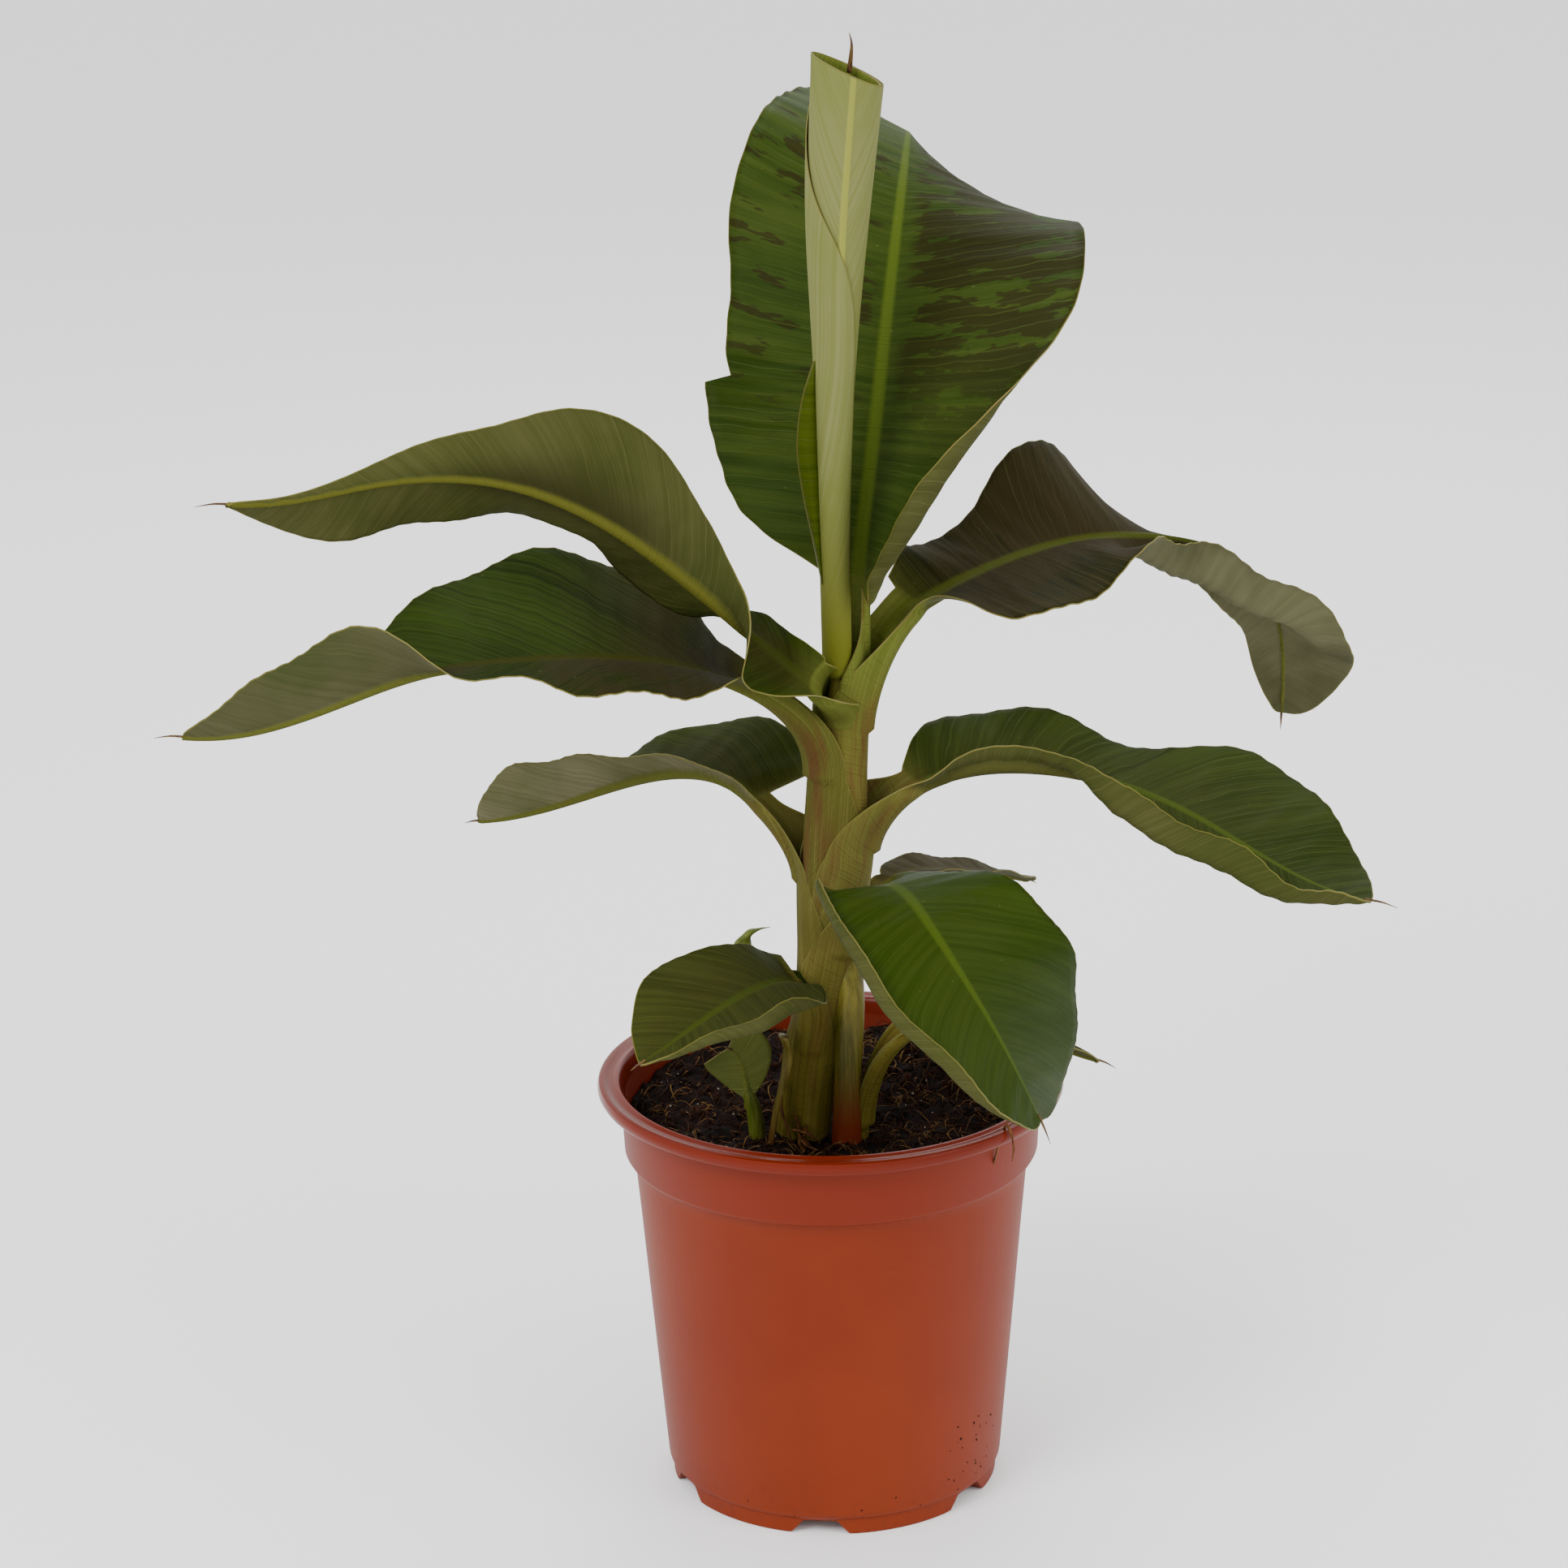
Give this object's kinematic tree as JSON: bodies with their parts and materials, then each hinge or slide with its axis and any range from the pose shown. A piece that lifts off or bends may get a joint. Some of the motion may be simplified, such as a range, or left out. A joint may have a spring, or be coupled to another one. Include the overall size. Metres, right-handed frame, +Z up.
{
  "type": "potted banana plant",
  "caption": "Young banana plant in a round nursery pot: a stout sheathed stem, broad arching leaves, a rolled new leaf and a small sucker at its foot.",
  "frame": {"origin": "middle of the pot's underside, on the surface that it stands on", "axes": "+Z up, the pictured side faces -Y, +X to the right in the picture"},
  "size_m": [0.5898, 0.3956, 0.752],
  "materials": {
    "pot_plastic": "smooth moulded plastic, a little glossy on the lip",
    "potting_soil": "loose dark peat with fibres",
    "stem_skin": "smooth green leaf feet with brown streaks",
    "leaf_blade": "dark green, finely veined, satin",
    "young_leaf": "pale green, waxy",
    "dry_leaf": "dry brown"
  },
  "bodies": {
    "root": {"pot": "pot_plastic", "soil": "potting_soil", "stem": "stem_skin", "leaf_rolled": "young_leaf", "leaf_upright": "leaf_blade", "leaf_upper_right": "leaf_blade", "leaf_upper_left": "leaf_blade", "leaf_mid_left": "leaf_blade", "leaf_low_left": "leaf_blade", "leaf_mid_right": "leaf_blade", "leaf_front_right": "leaf_blade", "leaf_back": "leaf_blade", "leaf_front_left": "leaf_blade", "leaf_base_right": "leaf_blade", "sucker_stem": "stem_skin", "sucker_spear": "young_leaf", "sucker_leaf_front": "leaf_blade", "sucker_leaf_right": "leaf_blade", "dry_sheath": "dry_leaf"}
  },
  "joints": []
}
